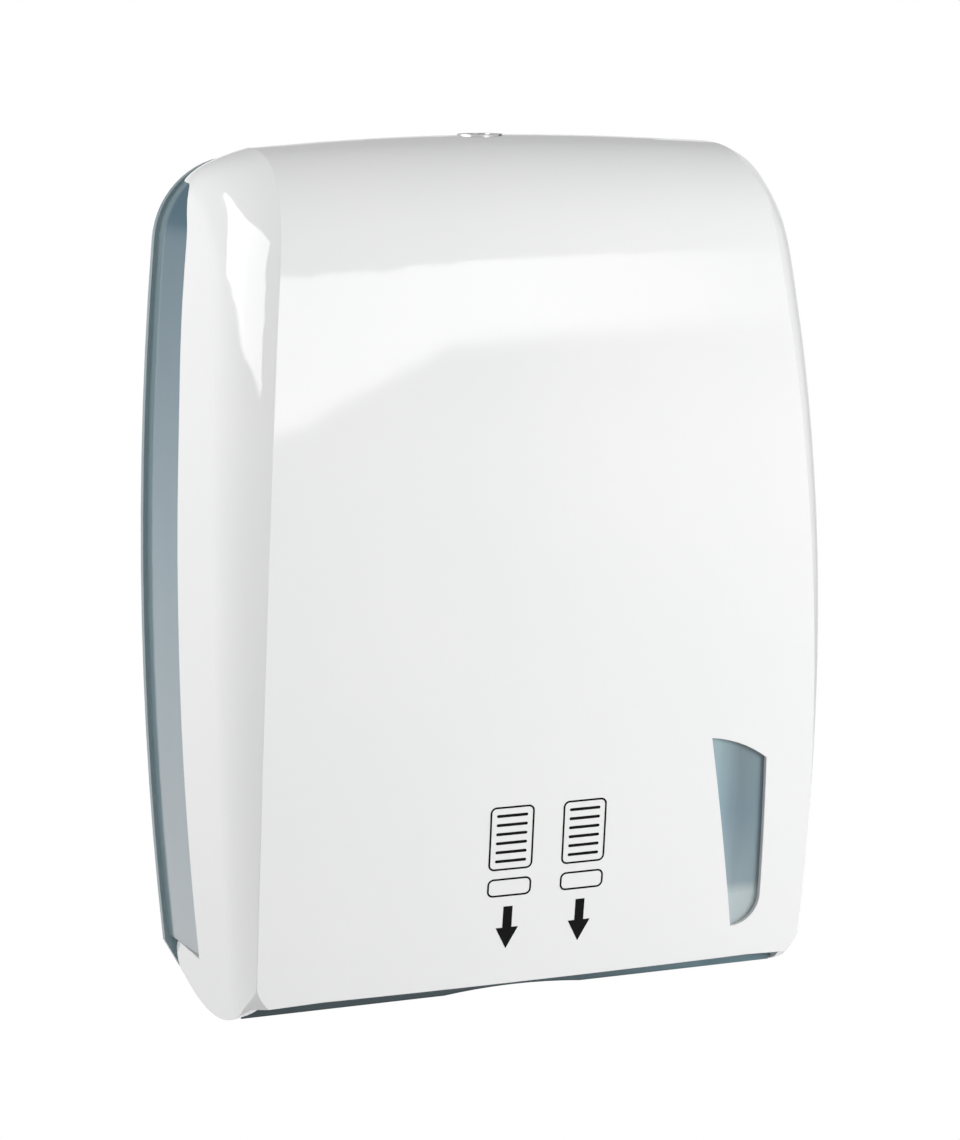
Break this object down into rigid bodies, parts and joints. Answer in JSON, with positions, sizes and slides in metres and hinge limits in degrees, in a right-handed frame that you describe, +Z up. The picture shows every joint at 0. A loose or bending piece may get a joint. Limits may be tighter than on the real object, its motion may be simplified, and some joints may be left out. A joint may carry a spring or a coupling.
{
  "type": "toilet paper dispenser",
  "caption": "Wall dispenser for side-by-side stacks of folded toilet paper: bowed white cover hinged at the bottom, smoked rear tray, level window, key lock on top.",
  "frame": {"origin": "on the wall plane, in the middle of the wall-screw holes", "axes": "+X to the viewer's right seen from the front, +Y into the wall, +Z up; the front faces -Y"},
  "size_m": [0.3048, 0.1455, 0.4119],
  "materials": {
    "white_gloss": "gloss",
    "smoked": "gloss",
    "smoked_dark": "gloss",
    "smoked_pane": "gloss",
    "inner_white": "matte",
    "steel": "zinc plated",
    "lock_metal": "satin nickel"
  },
  "bodies": {
    "base": {"rear_tray": "smoked", "outlet_tray": "smoked_dark", "outlet_tray_screws": "steel", "column_divider": "inner_white", "divider_screws": "steel", "left_side_guide": "inner_white", "right_side_guide": "inner_white", "guide_screws": "steel", "left_hinge_pin": "steel", "right_hinge_pin": "steel", "latch_strike": "steel", "strike_screws": "steel"},
    "cover": {"front_cover": "white_gloss", "window_pane": "smoked_pane", "window_push_nuts": "steel", "lock_housing": "lock_metal", "lock_nut": "steel"},
    "lock": {"lock_barrel": "lock_metal", "lock_cam": "steel", "cam_washer": "steel", "cam_screw": "steel"}
  },
  "joints": [
    {"name": "cover_hinge", "type": "hinge", "parent": "base", "child": "cover", "pos_m": [0, -0.016, -0.1975], "axis": [1, 0, 0], "range_deg": [0, 85]},
    {"name": "lock_turn", "type": "hinge", "parent": "cover", "child": "lock", "pos_m": [0, -0.056, 0.19], "axis": [0, 0, -1], "range_deg": [0, 90]}
  ]
}
